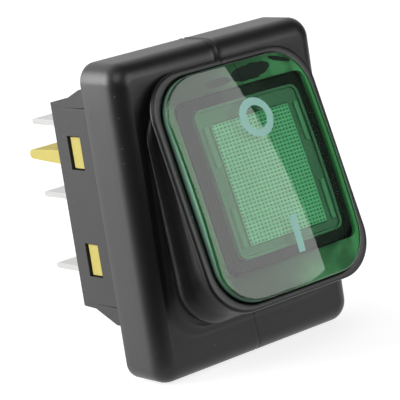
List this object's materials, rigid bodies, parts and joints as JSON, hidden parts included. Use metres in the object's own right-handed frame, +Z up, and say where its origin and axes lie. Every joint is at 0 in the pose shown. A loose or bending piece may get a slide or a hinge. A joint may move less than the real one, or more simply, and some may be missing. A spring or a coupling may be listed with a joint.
{
  "type": "illuminated rocker switch",
  "caption": "Panel rocker switch with a lit green window in a rubber sealing boot, a black snap-in housing, a yellow terminal base and flat push-on tabs.",
  "frame": {"origin": "middle of the panel cut-out, in the plane of the panel's front where the rubber frame's back face seats", "axes": "+Z up the face towards the end marked O, -Y out of the panel towards the user, +X to the right as the user sees it"},
  "size_m": [0.0334, 0.0437, 0.0422],
  "materials": {
    "boot_rubber": "satin black soft moulding",
    "green_window": "clear glossy green",
    "black_plastic": "satin",
    "yellow_plastic": "matte",
    "green_lens": "clear green with fine ribs",
    "spring_steel": "drawn wire",
    "brass": "stamped",
    "contact_silver": "bright silver",
    "tinned_brass": "bright tin plate",
    "lamp_glass": "clear",
    "resistor_coat": "lacquer"
  },
  "bodies": {
    "base": {"boot_frame": "boot_rubber", "boot_bellows": "boot_rubber", "housing": "black_plastic", "terminal_base": "yellow_plastic", "switched_terminal_left": "tinned_brass", "switched_terminal_right": "tinned_brass", "common_terminal_left": "tinned_brass", "common_terminal_right": "tinned_brass", "lamp_terminal_left": "tinned_brass", "lamp_terminal_right": "tinned_brass", "fixed_contact_left": "contact_silver", "fixed_contact_right": "contact_silver", "lamp_bulb": "lamp_glass", "lamp_resistor": "resistor_coat", "lamp_lead_left": "tinned_brass", "lamp_lead_right": "tinned_brass"},
    "rocker": {"rocker": "black_plastic", "rocker_lens": "green_lens", "boot_window": "green_window", "plunger_spring_left": "spring_steel", "plunger_spring_right": "spring_steel"},
    "plunger_left": {"plunger_left": "black_plastic"},
    "plunger_right": {"plunger_right": "black_plastic"},
    "lever_left": {"contact_lever_left": "brass", "lever_contact_left": "contact_silver"},
    "lever_right": {"contact_lever_right": "brass", "lever_contact_right": "contact_silver"}
  },
  "joints": [
    {"name": "rocker_tilt", "type": "hinge", "parent": "base", "child": "rocker", "pos_m": [0, -0.0015, 0], "axis": [1, 0, 0], "range_deg": [0, 33], "deforming": ["boot_bellows"]},
    {"name": "plunger_left_slide", "type": "slide", "parent": "rocker", "child": "plunger_left", "axis": [0, -0.9588, 0.284], "range_m": [0, 0.0008], "stiffness_N_per_m": 400, "springref_m": -0.002, "deforming": ["plunger_spring_left"]},
    {"name": "plunger_right_slide", "type": "slide", "parent": "rocker", "child": "plunger_right", "axis": [0, -0.9588, 0.284], "range_m": [0, 0.0008], "stiffness_N_per_m": 400, "springref_m": -0.002, "deforming": ["plunger_spring_right"]},
    {"name": "lever_left_rock", "type": "hinge", "parent": "base", "child": "lever_left", "pos_m": [-0.0055, 0.0084, 0], "axis": [1, 0, 0], "range_deg": [-12, 0]},
    {"name": "lever_right_rock", "type": "hinge", "parent": "base", "child": "lever_right", "pos_m": [0.0055, 0.0084, 0], "axis": [1, 0, 0], "range_deg": [-12, 0]}
  ],
  "couplings": [
    {"joint": "lever_left_rock", "follows": "rocker_tilt", "ratio": -0.36364},
    {"joint": "lever_right_rock", "follows": "rocker_tilt", "ratio": -0.36364}
  ]
}
